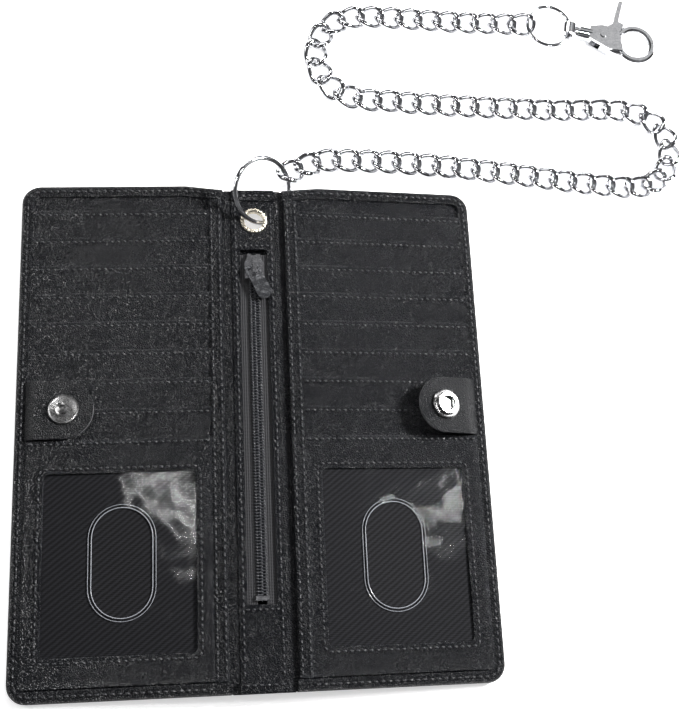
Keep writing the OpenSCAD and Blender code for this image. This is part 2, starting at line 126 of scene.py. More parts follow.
def ramp(tree, value, low, high, to_low=0.0, to_high=1.0):
    return add(tree, "ShaderNodeMapRange", {"Value": value, "From Min": low, "From Max": high,
                                            "To Min": to_low, "To Max": to_high}).outputs["Result"]


# Pebbled leather grain with pores, creases and a slow waviness of the hide
hide, h_in, h_out = group("hide",
    [("Tone", "NodeSocketFloat"), ("Rough", "NodeSocketFloat"), ("Normal", "NodeSocketVector")],
                          [("Cell", "NodeSocketFloat", 1300.0), ("Depth", "NodeSocketFloat", 0.25)])
where = add(hide, "ShaderNodeTexCoord").outputs["Object"]
bent = add(hide, "ShaderNodeTexNoise", {"Vector": where, "Scale": 500.0, "Detail": 2.0}).outputs["Color"]
warped = add(hide, "ShaderNodeMixRGB", {"Fac": 0.0015, "Color1": where, "Color2": bent}).outputs[0]
pebble = add(hide, "ShaderNodeTexVoronoi", {"Vector": warped, "Scale": h_in.outputs["Cell"]},
             feature="DISTANCE_TO_EDGE").outputs["Distance"]
pebble = ramp(hide, pebble, 0.0, 0.28)
pores = add(hide, "ShaderNodeTexNoise",
    {"Vector": where, "Scale": 1900.0, "Detail": 4.0, "Roughness": 0.7}).outputs["Fac"]
wave = add(hide, "ShaderNodeTexNoise", {"Vector": where, "Scale": 55.0, "Detail": 3.0}).outputs["Fac"]
slow = add(hide, "ShaderNodeTexNoise",
    {"Vector": where, "Scale": 17.0, "Detail": 4.0, "Roughness": 0.6}).outputs["Fac"]
fine = math_node(hide, "ADD", math_node(hide, "MULTIPLY", pebble, 0.55),
    math_node(hide, "MULTIPLY", pores, 0.5))
first = add(hide, "ShaderNodeBump", {"Strength": 0.45, "Distance": 0.0022, "Height": wave})
second = add(hide, "ShaderNodeBump", {"Strength": h_in.outputs["Depth"], "Distance": 0.0012, "Height": fine,
                                      "Normal": first.outputs["Normal"]})
hide.links.new(ramp(hide, math_node(hide, "ADD", math_node(hide, "MULTIPLY", slow, 0.25),
    math_node(hide, "MULTIPLY", pores, 0.75)),
                    0.25, 0.85), h_out.inputs["Tone"])
hide.links.new(ramp(hide, math_node(hide, "ADD", slow, pores), 0.7, 1.35), h_out.inputs["Rough"])
hide.links.new(second.outputs["Normal"], h_out.inputs["Normal"])

# Lighter convex ridges broken up by noise: a painted highlight along the crests, partly real wear
ridge_highlight_and_wear, r_in, r_out = group("ridge_highlight_and_wear", [("Mask", "NodeSocketFloat")])
ridge = ramp(ridge_highlight_and_wear, add(ridge_highlight_and_wear, "ShaderNodeNewGeometry").outputs["Pointiness"], 0.515, 0.6)
patch = add(ridge_highlight_and_wear, "ShaderNodeTexNoise", {"Vector": add(ridge_highlight_and_wear, "ShaderNodeTexCoord").outputs["Object"],
                                           "Scale": 160.0, "Detail": 5.0}).outputs["Fac"]
ridge_highlight_and_wear.links.new(math_node(ridge_highlight_and_wear, "MULTIPLY", ridge, ramp(ridge_highlight_and_wear, patch, 0.35, 0.65)),
    r_out.inputs["Mask"])

# Diagonal twill: ribs at 45 degrees, cut across by the finer weft
twill, t_in, t_out = group("twill", [("Mask", "NodeSocketFloat"), ("Normal", "NodeSocketVector")])
where = add(twill, "ShaderNodeTexCoord").outputs["Object"]
turned = add(twill, "ShaderNodeMapping", {"Vector": where, "Rotation": (0, 0, math.radians(52))}).outputs[0]
rib = add(twill, "ShaderNodeTexWave", {"Vector": turned, "Scale": 165.0, "Distortion": 0.6, "Detail": 1.0,
                                       "Detail Scale": 2.0}, bands_direction="X").outputs["Fac"]
weft = add(twill, "ShaderNodeTexWave", {"Vector": where, "Scale": 420.0},
    bands_direction="Y").outputs["Fac"]
weave = math_node(twill, "ADD", math_node(twill, "MULTIPLY", rib, 0.75),
    math_node(twill, "MULTIPLY", weft, 0.25))
twill.links.new(weave, t_out.inputs["Mask"])
twill.links.new(add(twill, "ShaderNodeBump",
    {"Strength": 0.6, "Distance": 0.0003, "Height": weave}).outputs["Normal"],
                t_out.inputs["Normal"])

# Plated metal: faint polishing marks, small dents and dulled spots
plate, p_in, p_out = group("plate", [("Dull", "NodeSocketFloat"), ("Normal", "NodeSocketVector")],
                           [("Dents", "NodeSocketFloat", 0.12)])
where = add(plate, "ShaderNodeTexCoord").outputs["Object"]
spots = add(plate, "ShaderNodeTexNoise",
    {"Vector": where, "Scale": 420.0, "Detail": 4.0, "Roughness": 0.65}).outputs["Fac"]
lines = add(plate, "ShaderNodeTexNoise",
    {"Vector": add(plate, "ShaderNodeMapping", {"Vector": where, "Scale": (1.0, 9.0, 1.0)}).outputs[0],
                                          "Scale": 800.0, "Detail": 3.0}).outputs["Fac"]
soft = add(plate, "ShaderNodeTexNoise", {"Vector": where, "Scale": 190.0, "Detail": 2.0}).outputs["Fac"]
plate.links.new(ramp(plate, math_node(plate, "ADD", spots, lines), 0.75, 1.35), p_out.inputs["Dull"])
plate.links.new(add(plate, "ShaderNodeBump", {"Strength": p_in.outputs["Dents"], "Distance": 0.0006,
                                              "Height": math_node(plate, "ADD", soft,
                                                  math_node(plate, "MULTIPLY", spots,
                                                      0.12))}).outputs["Normal"],
                p_out.inputs["Normal"])


def material(name):
    m = bpy.data.materials.new(name)
    m.use_nodes = True
    return m, m.node_tree, m.node_tree.nodes["Principled BSDF"]


def mix_colour(tree, mask, a, b):
    return add(tree, "ShaderNodeMixRGB", {"Fac": mask, "Color1": (*a, 1), "Color2": (*b, 1)}).outputs[0]


def use_group(tree, g, **values):
    n = tree.nodes.new("ShaderNodeGroup")
    n.node_tree = g
    for key, value in values.items():
        n.inputs[key].default_value = value
    return n


def leather(name, cell, depth, low, high, rough, specular, worn=None):
    """Dark hide; worn is how much its lighter ridges show, and their colour: a painted highlight along the
    crests, partly wear.
    """
    m, tree, bsdf = material(name)
    grain = use_group(tree, hide, Cell=cell, Depth=depth)
    tone = mix_colour(tree, grain.outputs["Tone"], low, high)
    # painted highlight: convex ridges are mixed towards a lighter grey, partly wear
    if worn:
        share = math_node(tree, "MULTIPLY", use_group(tree, ridge_highlight_and_wear).outputs["Mask"], worn[0])
        tone = add(tree, "ShaderNodeMixRGB",
            {"Fac": share, "Color1": tone, "Color2": (*worn[1], 1)}).outputs[0]
    tree.links.new(tone, bsdf.inputs["Base Color"])
    tree.links.new(ramp(tree, grain.outputs["Rough"], 0, 1, *rough), bsdf.inputs["Roughness"])
    tree.links.new(grain.outputs["Normal"], bsdf.inputs["Normal"])
    bsdf.inputs["Specular IOR Level"].default_value = specular
    return m


def metal(name, dents, bright, dull, rough, dented=True):
    """Plated metal, duller and rougher where its plating has spots."""
    m, tree, bsdf = material(name)
    marks = use_group(tree, plate, Dents=dents)
    tree.links.new(mix_colour(tree, marks.outputs["Dull"], bright, dull), bsdf.inputs["Base Color"])
    tree.links.new(ramp(tree, marks.outputs["Dull"], 0, 1, *rough), bsdf.inputs["Roughness"])
    if dented:
        tree.links.new(marks.outputs["Normal"], bsdf.inputs["Normal"])
    bsdf.inputs["Metallic"].default_value = 1.0
    return m


# ---------------------------------------------------------------- shared mesh helpers
def new_piece(name, verts, faces, mat, body=None, smooth=True, angle=None):
    mesh = bpy.data.meshes.new(name)
    mesh.from_pydata([Vector(v) * MM for v in verts], [], faces)
    mesh.validate()
    bm = bmesh.new()
    bm.from_mesh(mesh)
    bmesh.ops.recalc_face_normals(bm, faces=bm.faces)
    bm.to_mesh(mesh)
    bm.free()
    for p in mesh.polygons:
        p.use_smooth = smooth
    if angle:
        mesh.set_sharp_from_angle(angle=math.radians(angle))
    for m in (mat if isinstance(mat, (list, tuple)) else [mat]):
        mesh.materials.append(m)
    obj = bpy.data.objects.new(name, mesh)
    bpy.context.collection.objects.link(obj)
    if body:
        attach(obj, body)
    return obj


def loft(rings, closed=True, cap_first=False, cap_last=False):
    """Quads between equal rings of points; the rings are closed loops or open rows."""
    n = len(rings[0])
    verts = [v for ring in rings for v in ring]
    faces = []
    for a in range(len(rings) - 1):
        for k in range(n if closed else n - 1):
            j = (k + 1) % n
            faces.append((a * n + k, a * n + j, (a + 1) * n + j, (a + 1) * n + k))
    if cap_first:
        faces.append(tuple(range(n)))
    if cap_last:
        faces.append(tuple((len(rings) - 1) * n + k for k in range(n)))
    return verts, faces


def keep_cad(node, mat, bevel=0.25, angle=32):
    """Shows a CAD node with this material, its edges rounded by a modifier."""
    obj = nodes[node]
    obj.data.materials.clear()
    obj.data.materials.append(mat)
    if bevel:
        m = obj.modifiers.new("soft edges", "BEVEL")
        m.width, m.segments, m.limit_method, m.angle_limit = bevel * MM, 2, "ANGLE", math.radians(angle)
        m.use_clamp_overlap = True
    return obj


FOLD_X, FOLD_Z, HALF_W, HALF_H = 13.0, 7.0, 89.0, 111.0
DROP = math.asin((FOLD_Z - 1.4 - 0.03) / HALF_W)
SIDES = (("left", -1), ("right", 1))


def on_half(s, u, y, w):
    """A point of a half in the row frame: u outward from the fold, w up from the cover."""
    return (s * (FOLD_X + u * math.cos(DROP) + w * math.sin(DROP)), y,
        FOLD_Z - u * math.sin(DROP) + w * math.cos(DROP))


def waver(u, y, seed, size=22.0):
    return noise.noise(Vector((u / size, y / size, seed * 7.3)))


thread_mat, tree, bsdf = material("thread")
bsdf.inputs["Roughness"].default_value = 0.4
twist = add(tree, "ShaderNodeTexWave",
    {"Vector": add(tree, "ShaderNodeTexCoord").outputs["Object"], "Scale": 600.0, "Distortion": 1.0},
            bands_direction="DIAGONAL").outputs["Fac"]
tree.links.new(mix_colour(tree, twist, (0.003, 0.003, 0.0035), (0.03, 0.031, 0.035)),
    bsdf.inputs["Base Color"])
tree.links.new(add(tree, "ShaderNodeBump",
    {"Strength": 0.5, "Distance": 0.0002, "Height": twist}).outputs["Normal"], bsdf.inputs["Normal"])


def stitch(verts, faces, a, b, lift, fat=0.46):
    """One stitch from a to b: a short thread that rises between its two holes."""
    a, b, lift = Vector(a), Vector(b), Vector(lift).normalized()
    run = (b - a)
    side = run.cross(lift).normalized()
    base = len(verts)
    for t, grow, high in ((0, 0.35, -0.16), (0.12, 0.8, 0.08), (0.35, 1, 0.2), (0.65, 1, 0.2),
            (0.88, 0.8, 0.08), (1, 0.35, -0.16)):
        for k in range(6):
            q = k * math.pi / 3
            out = side * (math.cos(q) * fat * grow)
            verts.append(tuple(a + run * t + out + lift * (high + math.sin(q) * fat * 0.8 * grow)))
    for r in range(5):
        for k in range(6):
            j = (k + 1) % 6
            faces.append((base + r * 6 + k, base + r * 6 + j, base + r * 6 + 6 + j, base + r * 6 + 6 + k))
    faces.append(tuple(base + k for k in range(6)))
    faces.append(tuple(base + 30 + k for k in range(6)))


def sew(path, place, pitch=3.0, gap=0.95, lift=None):
    """Stitches along a path of (u, y, w) points; place turns them into the row frame."""
    verts, faces = [], []
    far = [0.0]
    for p, q in zip(path, path[1:]):
        far.append(far[-1] + math.dist(p[:2], q[:2]))

    def at(s):
        for k in range(len(path) - 1):
            if s <= far[k + 1] or k == len(path) - 2:
                t = (s - far[k]) / max(far[k + 1] - far[k], 1e-6)
                return [a + (b - a) * t for a, b in zip(path[k], path[k + 1])]
    count = max(1, round(far[-1] / pitch))
    step = far[-1] / count
    for k in range(count):
        a, b = at(k * step + gap / 2), at((k + 1) * step - gap / 2)
        pa, pb = place(*a), place(*b)
        top = place(a[0], a[1], a[2] + 1)
        stitch(verts, faces, pa, pb, Vector(top) - Vector(pa) if lift is None else lift)
    return verts, faces


def join(parts):
    verts, faces = [], []
    for v, f in parts:
        base = len(verts)
        verts += v
        faces += [tuple(i + base for i in face) for face in f]
    return verts, faces


# ---------------------------------------------------------------- covers and turned edges
# Each half is a piece of smooth black cowhide. Its edge is folded over the
# pockets on three sides, 5 mm wide, and sewn down through everything.
# the last argument is the lighter grey of the convex ridges: a painted highlight along the crests, partly
# wear
cover_mat = leather("cover_leather", 1000.0, 0.7, (0.0007, 0.0008, 0.0011), (0.0055, 0.006, 0.008),
    (0.22, 0.38), 0.3, (0.55, (0.05, 0.052, 0.057)))

CORNER_R, TOP_DIP = 8.0, 2.0


def half_path(inset):
    """The outline of a half from the fold at the foot, round the outside, to the fold at the head."""
    r = max(CORNER_R - inset, 1.2)
    out, top = HALF_W - inset, HALF_H - inset
    pts = [(0.35 + (out - r - 0.35) * k / 24, -top) for k in range(24)]
    pts += [(out - r + r * math.sin(a), -top + r - r * math.cos(a))
        for a in [math.pi / 2 * k / 8 for k in range(9)]]
    pts += [(out, -top + r + (2 * top - 2 * r) * k / 60) for k in range(1, 60)]
    pts += [(out - r + r * math.cos(a), top - r + r * math.sin(a))
        for a in [math.pi / 2 * k / 8 for k in range(9)]]
    pts += [(out - r - (out - r - 0.35) * k / 24, top) for k in range(1, 25)]
    return [(u, y - (TOP_DIP * min(1, max(0, (17 - u) / 17)) if y > top - 1 else 0)) for u, y in pts]


edge_profile = [(0.9, -1.4), (0.3, -1.3), (0.02, -0.9), (0, 0.2), (0.03, 1.2), (0.25, 1.75), (0.8, 2.08),
    (1.7, 2.14),
                (2.7, 2.06), (3.7, 2.1), (4.5, 2.0), (4.95, 1.75), (5.1, 1.25), (5.2, 0.7)]
for name, s in SIDES:
    rings = []
    for inset, w in edge_profile:
        rings.append([on_half(s, u, y, w + (0.05 * waver(u, y, s + 3, 9) if w > 1 else 0)) for u,
            y in half_path(inset)])
    verts, faces = loft(rings, closed=False, cap_first=True)
    cover = new_piece(name + "_cover_leather", verts, faces, cover_mat, name + "_half",
        angle=60)
    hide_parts(name + "_cover")
    path = [(u, y, 2.05) for u, y in half_path(2.7)][2:-1]
    verts, faces = sew(path, lambda u, y, w, s=s: on_half(s, u, y, w))
    new_piece(name + "_border_stitches", verts, faces, thread_mat, name + "_half")

# ---------------------------------------------------------------- board and edge strip
# Behind the pockets is a cloth-covered board. Along the fold a folded strip of
# leather covers the ends of all the pockets, with a row of stitches near each side.
board_mat, tree, bsdf = material("board_cloth")
cloth = use_group(tree, twill)
tree.links.new(mix_colour(tree, cloth.outputs["Mask"], (0.0006, 0.0006, 0.0008), (0.011, 0.011, 0.013)),
    bsdf.inputs["Base Color"])
tree.links.new(cloth.outputs["Normal"], bsdf.inputs["Normal"])
bsdf.inputs["Roughness"].default_value = 0.8
bsdf.inputs["Specular IOR Level"].default_value = 0.15
strip_profile = [(1.0, 0.7), (0.95, 1.7), (1.15, 2.2), (1.7, 2.42), (2.5, 2.38), (3.4, 2.52), (4.3, 2.5),
    (5.2, 2.36), (6.0, 2.4),
                 (6.6, 2.2), (6.85, 1.8), (6.9, 0.8)]
for name, s in SIDES:
    rings = []
    for k in range(101):
        y = -105.6 + (103.8 + 105.6) * k / 100
        rings.append([on_half(s, u, y, w + (0.09 * waver(u, y, s + 9, 14) if w > 1 else 0)) for u,
            w in strip_profile])
    verts, faces = loft(rings, closed=False, cap_first=True, cap_last=True)
    strip = new_piece(name + "_edge_strip_leather", verts, faces, cover_mat, name + "_half",
        angle=70)
    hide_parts(name + "_edge_strip")
    rows = [sew([(u, -105.0, 2.36), (u, 103.0, 2.36)], lambda u, y, w, s=s: on_half(s, u, y, w))
        for u in (2.2, 5.7)]
    verts, faces = join(rows)
    new_piece(name + "_strip_stitches", verts, faces, thread_mat, name + "_half")

# ---------------------------------------------------------------- card pockets
# Eight stepped pockets a side. Each is a thin leather strip that leans down behind
# the next; its upper edge is folded over and sewn just below the mouth.
# the last argument is the lighter grey of the convex ridges, so the pocket lips get a painted highlight,
# partly wear
pocket_mat = leather("pocket_leather", 1150.0, 0.65, (0.0008, 0.0009, 0.0013), (0.006, 0.0066, 0.009),
    (0.2, 0.35), 0.34, (0.6, (0.06, 0.063, 0.07)))

lined_mat = leather("lined_leather", 1150.0, 0.65, (0.0008, 0.0009, 0.0013), (0.006, 0.0066, 0.009),
    (0.2, 0.35), 0.3)

PITCH, MOUTH_1 = 13.0, 98.8
mouth_profile = [(-15.5, 0.75), (-4.5, 1.4), (-0.6, 1.55), (-0.05, 1.62), (0.12, 1.85), (0.1, 2.15),
    (-0.18, 2.38), (-0.65, 2.46), (-1.4, 2.36),
                 (-2.0, 2.27), (-2.8, 2.36), (-4.2, 2.3), (-6.5, 2.07), (-9.5, 1.8), (-13.0, 1.5),
                     (-15.6, 1.25)]


def pocket_strip(s, mouth, seed):
    rings = []
    for k in range(41):
        u = 6.3 + (84.3 - 6.3) * k / 40
        crown = 0.12 * math.sin(math.pi * k / 40)
        shift = 0.16 * waver(u, mouth, seed + 1, 26)
        ring = []
        for dy, w in mouth_profile:
            rise = (crown + 0.1 * waver(u, mouth + dy, seed, 30)) * (1 if w > 1.8 else 0.4)
            ring.append(on_half(s, u, mouth + dy + shift, w + rise))
        rings.append(ring)
    return loft(rings, closed=False)


for name, s in SIDES:
    keep_cad(name + "_pocket_board", lined_mat, 0)
    rows = []
    for k in range(8):
        mouth = MOUTH_1 - k * PITCH
        verts, faces = pocket_strip(s, mouth, 5 * s + k)
        pocket = new_piece("%s_card_pocket_leather_%d" % (name, k + 1), verts, faces, pocket_mat,
            name + "_half",
                           angle=75)
        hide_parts("%s_card_pocket_%d" % (name, k + 1))
        # under a tab the stitches are pressed into the leather
        low = 2.02 if abs(mouth - 9.5) < 14 else 2.3
        path = [(7.2, mouth - 1.95, 2.3), (52, mouth - 1.95, 2.3), (55, mouth - 1.95, low),
            (83.6, mouth - 1.95, low)]
        rows.append(sew(path, lambda u, y, w, s=s: on_half(s, u, y, w), 2.7))
    verts, faces = join(rows)
    new_piece(name + "_pocket_stitches", verts, faces, thread_mat, name + "_half")

# ---------------------------------------------------------------- identity card pocket
# The lowest pocket has a leather frame with a rectangle of stitches round its
# opening, a clear vinyl sheet with a thumb hole, and dark twill behind.
WIN_U, WIN_Y, WIN_W, WIN_H = 45.0, -56.7, 62.5, 74.0
THUMB_W, THUMB_H = 25.0, 45.0


def rounded(cx, cy, w, h, r, n=8, sides=24):
    """A rectangle with round corners, with the same number of points at any size."""
    pts = []
    corners = [(cx + w / 2 - r, cy + h / 2 - r, 0), (cx - w / 2 + r, cy + h / 2 - r, 90),
               (cx - w / 2 + r, cy - h / 2 + r, 180), (cx + w / 2 - r, cy - h / 2 + r, 270)]
    for c in range(4):
        x, y, a0 = corners[c]
        arc = [(x + r * math.cos(math.radians(a0 + 90 * k / n)),
            y + r * math.sin(math.radians(a0 + 90 * k / n))) for k in range(n + 1)]
        x2, y2, a2 = corners[(c + 1) % 4]
        q = (x2 + r * math.cos(math.radians(a2)), y2 + r * math.sin(math.radians(a2)))
        pts += arc + [(arc[-1][0] + (q[0] - arc[-1][0]) * k / sides,
            arc[-1][1] + (q[1] - arc[-1][1]) * k / sides) for k in range(1, sides)]
    return pts


vinyl_mat, tree, bsdf = material("clear_vinyl")
ripple = add(tree, "ShaderNodeTexNoise",
    {"Vector": add(tree, "ShaderNodeTexCoord").outputs["Object"], "Scale": 32.0,
        "Detail": 2.0}).outputs["Fac"]
haze = add(tree, "ShaderNodeTexNoise",
    {"Vector": add(tree, "ShaderNodeTexCoord").outputs["Object"], "Scale": 300.0,
        "Detail": 5.0}).outputs["Fac"]
tree.links.new(add(tree, "ShaderNodeBump",
    {"Strength": 0.35, "Distance": 0.004, "Height": ripple}).outputs["Normal"], bsdf.inputs["Normal"])
tree.links.new(ramp(tree, haze, 0.3, 0.8, 0.05, 0.16), bsdf.inputs["Roughness"])
tree.links.new(ramp(tree, haze, 0.35, 0.8, 0.04, 0.1), bsdf.inputs["Alpha"])
bsdf.inputs["Base Color"].default_value = (0.006, 0.008, 0.011, 1)
bsdf.inputs["Specular IOR Level"].default_value = 1.0
bsdf.inputs["Coat Weight"].default_value = 0.6
bsdf.inputs["Coat Roughness"].default_value = 0.06

# Painted highlight: the thumb-hole rims are coloured light grey for the light caught on the cut edge of the
# clear sheet
rim_highlight_mat, tree, bsdf = material("vinyl_rim_painted_highlight")
cut = add(tree, "ShaderNodeTexNoise",
    {"Vector": add(tree, "ShaderNodeTexCoord").outputs["Object"], "Scale": 500.0}).outputs["Fac"]
# the painted highlight varies between two greys with this noise
tree.links.new(mix_colour(tree, cut, (0.18, 0.19, 0.21), (0.36, 0.37, 0.4)), bsdf.inputs["Base Color"])
bsdf.inputs["Roughness"].default_value = 0.15
bsdf.inputs["Alpha"].default_value = 0.85

for name, s in SIDES:
    def place(u, y, w, s=s):
        lip = 0.24 * max(0.0, min(1.0, (y + 9.7) / 1.2)) if w > 1.8 else 0
        return on_half(s, u, y, w + lip + (0.06 * waver(u, y, s + 31, 15) if w > 1 else 0))
    outer = rounded(45.3, -55.4, 78.2, 100.2, 1.0)
    rings = []
    for w, mixed in ((1.2, 0), (2.05, 0), (2.2, 0.02), (2.28, 0.35), (2.2, 0.62), (2.27, 0.8)):
        inner = rounded(WIN_U, WIN_Y, WIN_W, WIN_H, 2.0)
        ring = [(a[0] + (b[0] - a[0]) * mixed, a[1] + (b[1] - a[1]) * mixed) for a, b in zip(outer, inner)]
        rings.append([place(u, y, w) for u, y in ring])
    for grow, w in ((1.2, 2.22), (0.55, 2.16), (0.1, 1.98), (0, 1.75), (0.25, 1.5)):
        rings.append([place(u, y, w) for u,
            y in rounded(WIN_U, WIN_Y, WIN_W + grow, WIN_H + grow, 2.0 + grow / 2)])
    verts, faces = loft(rings)
    holder = new_piece(name + "_id_frame_leather", verts, faces, pocket_mat, name + "_half",
        angle=70)
    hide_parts(name + "_id_frame")
    loop = rounded(WIN_U, WIN_Y, WIN_W + 4.2, WIN_H + 4.2, 2.5, 6, 6)
    rows = [sew([(u, y, 2.2) for u, y in loop + loop[:1]], place, 2.8),
            sew([(7.2, -7.0, 2.3), (83.6, -7.0, 2.3)], place, 2.7)]
    verts, faces = join(rows)
    new_piece(name + "_window_stitches", verts, faces, thread_mat, name + "_half")

    # the sheet bulges a little; its thumb hole has a pressed rim, coloured light grey as a painted highlight
    # on the cut edge
    hole = (WIN_U - 1, WIN_Y, THUMB_W, THUMB_H, THUMB_W / 2 - 0.01)
    bulge = lambda u, y: 0.16 * waver(u, y, s + 51, 30)
    rings = []
    for t in (0, 0.2, 0.4, 0.6, 0.8, 0.93, 1.0):
        a = rounded(WIN_U, WIN_Y, WIN_W + 5, WIN_H + 5, 1.0, 10, 16)
        b = rounded(*hole, 10, 16)
        pts = [(p[0] + (q[0] - p[0]) * t, p[1] + (q[1] - p[1]) * t) for p, q in zip(a, b)]
        rings.append([on_half(s, u, y, 1.4 + bulge(u, y) * (1 - t * 0.5)) for u, y in pts])
    verts, faces = loft(rings)
    sheet = new_piece(name + "_clear_sheet", verts, faces, vinyl_mat, name + "_half")
    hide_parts(name + "_id_window")
    for label, extra, thick in (("inner", 0.0, 0.2), ("outer", 2.6, 0.13)):
        loop = rounded(hole[0], hole[1], hole[2] + extra, hole[3] + extra, hole[4] + extra / 2, 10, 16)
        rings = []
        for k, (u, y) in enumerate(loop):
            du, dy = u - hole[0], y - max(min(y, hole[1] + 10), hole[1] - 10)
            n = math.hypot(du, dy) or 1
            rings.append([on_half(s, u + du / n * thick * math.cos(q), y + dy / n * thick * math.cos(q),
                1.42 + bulge(u, y) * 0.6 + thick * math.sin(q))
                          for q in [j * math.pi / 3 for j in range(6)]])
        rings.append(rings[0])
        verts, faces = loft(rings)
        new_piece("%s_thumb_hole_%s_rim" % (name, label), verts, faces, rim_highlight_mat, name + "_half")
    keep_cad(name + "_id_backing", board_mat, 0)

# ---------------------------------------------------------------- closing tabs
# A round-ended leather flap on each outer edge, sewn in under the turned edge,
# with raw grey edges. The right one springs up off the pockets.
tab_mat = leather("tab_leather", 1100.0, 0.6, (0.0008, 0.0009, 0.0012), (0.006, 0.0066, 0.0085),
    (0.3, 0.46), 0.3)
cut_mat, tree, bsdf = material("cut_edge")
fibre = add(tree, "ShaderNodeTexNoise",
    {"Vector": add(tree, "ShaderNodeTexCoord").outputs["Object"], "Scale": 1500.0,
        "Detail": 5.0}).outputs["Fac"]
tree.links.new(mix_colour(tree, fibre, (0.05, 0.05, 0.055), (0.2, 0.2, 0.21)), bsdf.inputs["Base Color"])
tree.links.new(add(tree, "ShaderNodeBump",
    {"Strength": 0.7, "Distance": 0.0004, "Height": fibre}).outputs["Normal"], bsdf.inputs["Normal"])
bsdf.inputs["Roughness"].default_value = 0.85

SNAP_U, SNAP_Y, TAB_R, TAB_ROOT = 68.5, 7.5, 12.5, 84.0
LIFT = {"left": 0.0, "right": math.radians(11)}


def on_tab(name, u, y, w):
    a, du, dw = LIFT[name], u - TAB_ROOT, w - 2.5
    return on_half(-1 if name == "left" else 1, TAB_ROOT + du * math.cos(a) + dw * math.sin(a), y,
                   2.5 - du * math.sin(a) + dw * math.cos(a))


for name, s in SIDES:
    stations = [(SNAP_U - TAB_R * math.cos(math.radians(q)), TAB_R * math.sin(math.radians(q)))
        for q in range(6, 91, 7)]
    stations += [(SNAP_U + k * 1.6, TAB_R) for k in range(1, 11)]
    verts, faces, cut = [], [], []
    across = [-1, -0.965, -0.85, -0.5, 0, 0.5, 0.85, 0.965, 1]
    n = 2 * len(across)
    for u, h in stations:
        fall = 1.9 * max(0, (u - 78.5) / 6.0) ** 2
        top = [on_tab(name, u, SNAP_Y + f * h,
            4.7 - (0.14 if abs(f) == 1 else 0) - fall - 0.12 * waver(u, f * h, s + 71, 12) * (abs(f) < 1))
                for f in across]
        low = [on_tab(name, u, SNAP_Y + f * h, 3.45 + (0.1 if abs(f) == 1 else 0) - fall)
            for f in reversed(across)]
        verts += top + low
    for k in range(len(stations) - 1):
        for j in range(n):
            faces.append((k * n + j, k * n + (j + 1) % n, (k + 1) * n + (j + 1) % n, (k + 1) * n + j))
            cut.append(j in (len(across) - 1, n - 1))
    faces += [tuple(range(n)), tuple((len(stations) - 1) * n + k for k in range(n))]
    cut += [True, True]
    flap = new_piece(name + "_tab_leather", verts, faces, (tab_mat, cut_mat), name + "_tab",
        angle=50)
    for p, is_cut in zip(flap.data.polygons, cut):
        p.material_index = 1 if is_cut else 0
    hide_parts(name + "_tab")

# ---------------------------------------------------------------- snap
# The left tab carries a ribbed stud with a round head, the right one a thick
# socket with two spring wires in its deep hole. Both are dark pressed nickel.
snap_mat = metal("snap_nickel", 0.2, (0.36, 0.355, 0.35), (0.16, 0.16, 0.165), (0.18, 0.38))
wire_mat = metal("spring_steel", 0.05, (0.8, 0.8, 0.8), (0.55, 0.55, 0.56), (0.12, 0.25), dented=False)
for label in ("left_stud", "left_stud_rivet", "right_socket", "right_socket_rivet"):
    keep_cad(label, snap_mat, 0.12)
keep_cad("right_socket_spring", wire_mat, 0)

# ---------------------------------------------------------------- spine
# The spine holds the zipped coin pouch. Its inner leather panel has a long slot
# for the zip, rows of stitches on both sides of it and a seam above it.
keep_cad("cover_spine", lined_mat, 0.3)
keep_cad("zip_panel", lined_mat, 0.35)
lining_mat, tree, bsdf = material("pouch_lining")
cloth = use_group(tree, twill)
tree.links.new(mix_colour(tree, cloth.outputs["Mask"], (0.006, 0.006, 0.007), (0.022, 0.022, 0.025)),
    bsdf.inputs["Base Color"])
tree.links.new(cloth.outputs["Normal"], bsdf.inputs["Normal"])
bsdf.inputs["Roughness"].default_value = 0.9
keep_cad("pouch_lining", lining_mat, 0)
flat = lambda u, y, w: (u, y, w)
rows = [sew([(x, -104.5, 8.0), (x, 83.0, 8.0)], flat) for x in (-8.0, 8.0)]
rows += [sew([(x, 84.5, 7.3), (x, 101.5, 7.3)], flat) for x in (-8.0, 8.0)]
rows += [sew([(-7.4, y, 8.0), (7.4, y, 8.0)], flat, 2.5) for y in (82.0, -77.8)]
rows += [sew([(-8.6, -107.6, 8.85), (8.6, -107.6, 8.85)], flat, 2.7),
    sew([(-8.6, 106.4, 8.2), (8.6, 106.4, 8.2)], flat, 2.7)]
verts, faces = join(rows)
new_piece("spine_stitches", verts, faces, thread_mat, "spine")

# The cover leather runs on over each fold as a soft crease
for name, s in SIDES:
    rings = []
    for k in range(91):
        y = -110.7 + (108.7 + 110.7) * k / 90
        sag = 0.16 * waver(0, y, s + 90, 12)
        inner = 6.42 if y > 83 else 7.05
        ring = [(s * 9.2, y, inner - 0.5), (s * 9.2, y, inner), (s * 10.2, y, inner + 0.42 + sag),
            (s * 11.4, y, 7.42 + sag), (s * 12.6, y, 7.12 + sag)]
        ring += [on_half(s, 0.4, y, 0.2 + sag), on_half(s, 1.0, y, 0.55 + sag), on_half(s, 1.7, y, 0.8),
            on_half(s, 1.7, y, 0.1)]
        rings.append(ring + [(s * 12.9, y, 6.6)])
    verts, faces = loft(rings, cap_first=True, cap_last=True)
    crease = new_piece(name + "_fold_crease", verts, faces, cover_mat, None, angle=70)
    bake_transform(crease)

